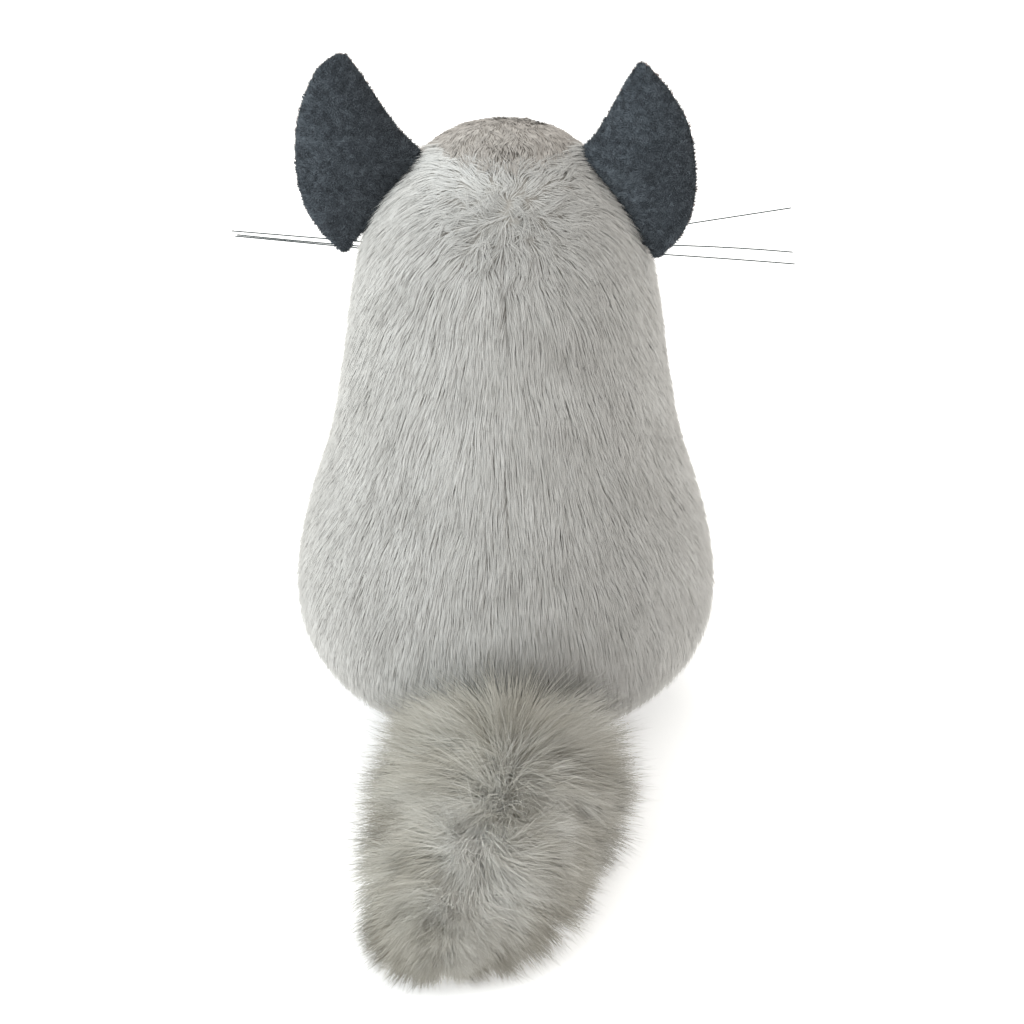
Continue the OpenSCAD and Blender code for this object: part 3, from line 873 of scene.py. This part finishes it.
def build_ears():
    fleece = fur_material("ear_fleece", srgb(50, 55, 60), srgb(85, 91, 97), srgb(118, 126, 133), 0.7, 1.1)
    pink = fur_material("ear_lining", srgb(150, 134, 131), srgb(198, 182, 178), srgb(224, 211, 207))
    dark_cloth = cloth_material("ear_backing", srgb(44, 47, 52), srgb(58, 62, 67))
    pink_cloth = cloth_material("ear_lining_backing", srgb(172, 156, 152), srgb(190, 174, 170))
    for side, label in ((1, "left"), (-1, "right")):
        layers = (("back", EAR_BACK, 1, fleece, dark_cloth, "ear_fleece", EAR_BACK_FIBRES),
                  ("lining", -EAR_LINING, -1, pink, pink_cloth, "ear_lining", EAR_LINING_FIBRES))
        for layer, thick, facing, pile, cloth, slot, count in layers:
            node = f"{label}_ear_{layer}"
            s, k = np.meshgrid(np.linspace(0, EAR_LAST, 70), np.linspace(0, 1, 36), indexing="ij")
            order = facing * side
            outer = ear_point(s, k, thick * 0.7, side)[:, ::order]
            inner = ear_point(s, k, 0.0, side)[:, ::-order]
            sheet = np.concatenate([outer, inner[:, 1:-1]], 1)
            piece = link(node + "_cloth", grid_mesh(node + "_cloth", sheet, True))
            dress(piece, cloth, f"{label}_ear", slot, node)
            rng = np.random.default_rng(51 + side + 5 * facing)
            s = rng.uniform(0, EAR_LAST, amount(count) * 2)
            k = rng.uniform(0, 1, len(s))
            width = along(EAR_ROWS, s)
            rows_gap = np.interp(s, np.arange(EAR_LAST) + 0.5, np.diff(EAR_ROWS[:, 0]))
            keep = rng.uniform(size=len(s)) < (width[:, 2] - width[:, 1]) * rows_gap / 300
            s, k = s[keep], k[keep]
            root = ear_point(s, k, thick * 0.6, side)

            # The nap stands on the cloth and turns outward at its edge
            d_s = ear_point(np.minimum(s + 0.02, EAR_LAST), k, thick, side)
            d_s = d_s - ear_point(s - 0.02, k, thick, side)
            d_k = ear_point(s, k + 0.01, thick, side) - ear_point(s, k - 0.01, thick, side)
            n = unit(np.cross(d_s, d_k))
            n = n * np.where(n[:, 1:2] * facing < 0, -1, 1)
            edge = ease(np.abs(2 * k - 1), 0.9, 1.0)[:, None]
            outward = unit(d_k) * np.sign(2 * k - 1)[:, None]
            n = unit(n + outward * edge * 1.4)
            up = unit(d_s)
            lean = np.stack([Noise(4, 60 + i)(root / MM) for i in range(3)], -1) * 0.5
            aim = unit(n + up * 0.35 + lean + rng.normal(size=n.shape) * 0.25)
            size = rng.uniform(0.8, 1.35, len(s)) * MM
            tip = root + aim * size[:, None]
            bend = root + unit(aim + n) * (size * 0.5)[:, None]
            tone = 0.5 + 0.12 * Noise(2.2, 64)(root / MM) + 0.06 * Noise(14, 65)(root / MM)
            tone = np.clip(tone + 0.1 * rng.normal(size=len(s)), 0.03, 0.97)
            radius = np.full(len(s), 0.17 * MM)
            fibres = dict(root=root, bend=bend, tip=tip, radius=radius, tone=tone, normal=n)
            plant(node + "_pile", pile, f"{label}_ear", slot, [node], fibres, segments=1, soft=0.75)


# ---------------------------------------------------------------- limbs and muzzle


class Loft:
    """A round limb along a line of [centre, radius] rings, closed at both ends"""

    def __init__(self, centres, radii, flat=1.0):
        self.centres, self.radii = np.array(centres), np.array(radii)
        self.at = np.linspace(0, 1, len(radii))
        self.flat = flat

    def point(self, s, turn, grow=0.0):
        centre = np.stack([np.interp(s, self.at, self.centres[:, i]) for i in range(3)], -1)
        ends = np.sqrt(np.clip(1 - np.abs(2 * s - 1) ** 7, 0, 1))
        radius = (np.interp(s, self.at, self.radii) + grow) * ends
        run = unit(self.centres[-1] - self.centres[0])
        side = unit(np.cross(run, [0, 0, 1.0]))
        up = np.cross(side, run)
        return centre + radius[..., None] * (np.cos(turn)[..., None] * side
                                             + np.sin(turn)[..., None] * up * self.flat)

    def normal(self, s, turn):
        a = self.point(s + 0.004, turn, 1e-5) - self.point(s - 0.004, turn, 1e-5)
        b = self.point(s, turn + 0.01, 1e-5) - self.point(s, turn - 0.01, 1e-5)
        return unit(np.cross(a, b))

    def skin(self, name, grow):
        s = 0.5 - 0.5 * np.cos(np.linspace(0, math.pi, 26))
        s, turn = np.meshgrid(s, np.linspace(0, 2 * math.pi, 32, endpoint=False), indexing="ij")
        points = self.point(s, turn, grow)
        points[..., 2] = np.maximum(points[..., 2], cad_low.z + 0.3 * MM)
        return link(name, grid_mesh(name, points, True))


def lay_short(p, n, toward, length, inset, radius, rise, seed):
    """Fibres of a short pile at points p with normals n; sizes in mm, rise in degrees"""
    rng = np.random.default_rng(seed)
    comb = tangent(toward + rng.normal(size=p.shape) * 0.25, n)
    size = length * rng.uniform(0.7, 1.2, len(p)) * MM
    angle = np.radians(rise + 9 * rng.normal(size=len(p)))
    root = p - n * inset * MM
    aim = n * np.sin(angle)[:, None] + comb * np.cos(angle)[:, None]
    bend = root + unit(aim + n * 0.6) * (size * 0.45)[:, None]
    tip = bend + unit(aim - n * 0.35) * (size * 0.6)[:, None]
    bend, tip, clump = gather(root, bend, tip, 0.14, 0.35, seed + 2)
    tip[:, 2] = np.maximum(tip[:, 2], cad_low.z + 0.4 * MM)
    tone = 0.5 + 0.07 * rng.normal(size=clump.max() + 1)[clump] + 0.06 * rng.normal(size=len(p))
    return dict(root=root, bend=bend, tip=tip, radius=np.full(len(p), radius * MM),
                tone=np.clip(tone, 0.03, 0.97), normal=n)


def build_muzzle(white):
    low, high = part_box("muzzle")
    centre = np.array([0, high.y - 3 * MM, (low.z + high.z) / 2])
    shape = Shape(["muzzle"], centre, lats=60, lons=90, smoothing=2)
    pale = cloth_material("muzzle_backing", srgb(205, 198, 186), srgb(222, 216, 205))
    skin = shape.skin("muzzle_backing", 0.7 * MM, rows=50, cols=80)
    dress(skin, pale, "body", "belly_pile", "muzzle")
    lat, lon = shape.scatter(amount(MUZZLE_FIBRES), seed=71)
    p, n = shape.point(lat, lon), shape.normal(lat, lon)
    front = p[:, 1] < centre[1] + 1 * MM
    p, n = p[front], n[front]
    nose = np.array([0, low.y, (low.z + high.z) / 2 + 4 * MM])
    pile = lay_short(p, n, unit(p - nose), length=4.2, inset=0.6, radius=0.13, rise=34, seed=72)
    plant("muzzle_pile", white, "body", "belly_pile", ["muzzle"], pile, segments=2, soft=0.85)


def limb_line(side, part):
    """Pivot of a limb's joint and the way the limb points, both from the frame"""
    node = f"{side}_{part}_cover"
    pivot = joint_place(f"{side}_{part}")
    return node, pivot, unit(middle(node) - pivot)


def build_limbs(grey):
    sole = fur_material("foot_velour", srgb(160, 140, 132), srgb(206, 188, 180), srgb(226, 212, 205))
    pad = cloth_material("foot_backing", srgb(176, 156, 148), srgb(196, 178, 170))
    backing = cloth_material("paw_backing", srgb(140, 136, 130), srgb(158, 154, 148))
    for side, sign in (("left", 1), ("right", -1)):
        paw_node, pivot, run = limb_line(side, "paw")
        inside = np.array([sign * 3, 13, 6]) * MM
        centres = [pivot + inside, pivot + inside * 0.2, pivot + run * 9 * MM, pivot + run * 18 * MM,
                   pivot + run * 28 * MM]
        arm = Loft(centres, np.array([11, 10, 8.6, 8.4, 8.8]) * MM)
        foot_node, heel, ahead = limb_line(side, "foot")
        inside = np.array([-sign * 3, 23, 5]) * MM
        centres = [heel + inside, heel, heel + ahead * 14 * MM, heel + ahead * 26 * MM,
                   heel + ahead * 36 * MM]
        leg = Loft(centres, np.array([8.0, 7.6, 7.7, 8.4, 8.0]) * MM, 0.92)
        for part, loft, name, material, cloth, slot, count, length, rise in (
            ("paw", arm, paw_node, grey, backing, "pile", PAW_FIBRES, 5.0, 32),
            ("foot", leg, foot_node, sole, pad, "foot_velour", FOOT_FIBRES, 1.5, 45),
        ):
            skin = loft.skin(f"{side}_{part}_backing", -0.8 * MM)
            dress(skin, cloth, f"{side}_{part}", slot, name)
            rng = np.random.default_rng(81)
            s = rng.uniform(0.02, 0.995, amount(count))
            turn = rng.uniform(0, 2 * math.pi, len(s))
            p, n = loft.point(s, turn), loft.normal(s, turn)
            toward = np.zeros_like(p) + (loft.centres[-1] - loft.centres[1]) / 0.02
            fibres = lay_short(p, n, unit(toward), length, inset=0.6, radius=0.13, rise=rise, seed=83)
            body = f"{side}_{part}"
            plant(body + "_pile", material, body, slot, [name], fibres, segments=2, soft=0.85)


def build_hardware():
    """Materials for the CAD nodes that stay: eyes, nose, stitches, whiskers and the inside"""
    eye = plain_material("eye", (0.004, 0.003, 0.003), (0.009, 0.006, 0.005), 0.05, 60, 0.0)
    nose = plain_material("nose_thread", srgb(120, 84, 84), srgb(158, 116, 114), 0.55, 2600, 0.8)
    thread = plain_material("thread", srgb(62, 54, 54), srgb(92, 82, 80), 0.6, 3000, 0.6)
    washer = plain_material("washer", (0.8, 0.8, 0.78), (0.86, 0.86, 0.84), 0.4)
    whisker = plain_material("whisker", srgb(24, 38, 42), srgb(44, 58, 60), 0.25, 900, 0.05)
    filling = cloth_material("fibrefill", (0.82, 0.82, 0.8), (0.9, 0.9, 0.89), 500, 0.8)
    pellets = cloth_material("pellet_bag", (0.68, 0.65, 0.57), (0.76, 0.73, 0.65), 1500, 0.5)
    by_slot = {"eye": eye, "nose_thread": nose, "thread": thread, "washer": washer, "whisker": whisker,
               "fibrefill": filling, "pellet_bag": pellets}
    for part in frame["record"]["subparts"]:
        obj = nodes[part["node"]]
        if obj.hide_render or part["material_slot"] not in by_slot:
            continue
        obj.data.materials.clear()
        obj.data.materials.append(by_slot[part["material_slot"]])
    neck = nodes["tail_neck"].data.materials
    neck.clear()
    neck.append(cloth_material("neck", srgb(118, 113, 108), srgb(138, 133, 127)))


build_stage()
grey_pile, white_pile = build_body()
build_tail()
build_ears()
build_muzzle(white_pile)
build_limbs(grey_pile)
build_hardware()
